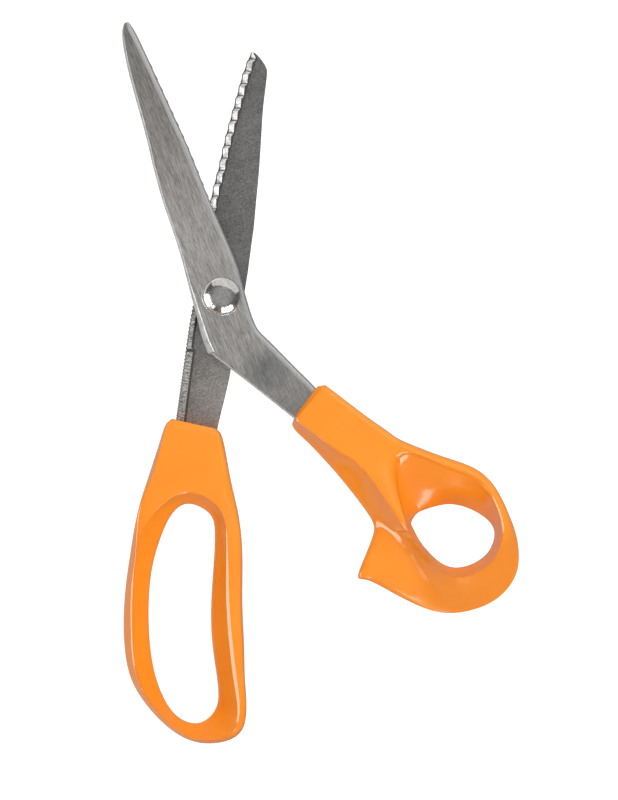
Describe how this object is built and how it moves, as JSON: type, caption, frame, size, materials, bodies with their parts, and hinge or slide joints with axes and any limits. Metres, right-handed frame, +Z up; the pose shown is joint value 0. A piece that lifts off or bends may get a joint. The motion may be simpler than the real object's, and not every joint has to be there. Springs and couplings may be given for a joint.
{
  "type": "pinking shears",
  "caption": "Fabric shears with zigzag-toothed steel blades, a domed pivot and moulded looped handles, one long for the fingers and one short for the thumb.",
  "frame": {"origin": "centre of the pivot nut's flat end face, on the pivot axis and in the plane the shears rest on", "axes": "+Z up along the pivot axis from the nut to the domed head, +Y from the pivot to the blade tips, +X to the thumb loop's side"},
  "size_m": [0.1323, 0.2401, 0.0135],
  "materials": {
    "front_steel": "brushed along the blade",
    "rear_steel": "dull ground inner face",
    "handle_plastic": "gloss moulded",
    "polished_steel": "polished",
    "bush_plastic": "plain moulded",
    "washer_steel": "plain"
  },
  "bodies": {
    "rear_half": {"rear_blade": "rear_steel", "finger_handle": "handle_plastic", "pivot_pin": "polished_steel", "pivot_nut": "polished_steel", "rear_bush": "bush_plastic", "thrust_washer": "washer_steel", "spring_washer": "washer_steel"},
    "front_half": {"front_blade": "front_steel", "thumb_handle": "handle_plastic", "front_bush": "bush_plastic"}
  },
  "joints": [
    {"name": "pivot", "type": "hinge", "parent": "rear_half", "child": "front_half", "pos_m": [0, 0, 0.0064], "axis": [0, 0, 1], "range_deg": [-22.8, 30]}
  ]
}
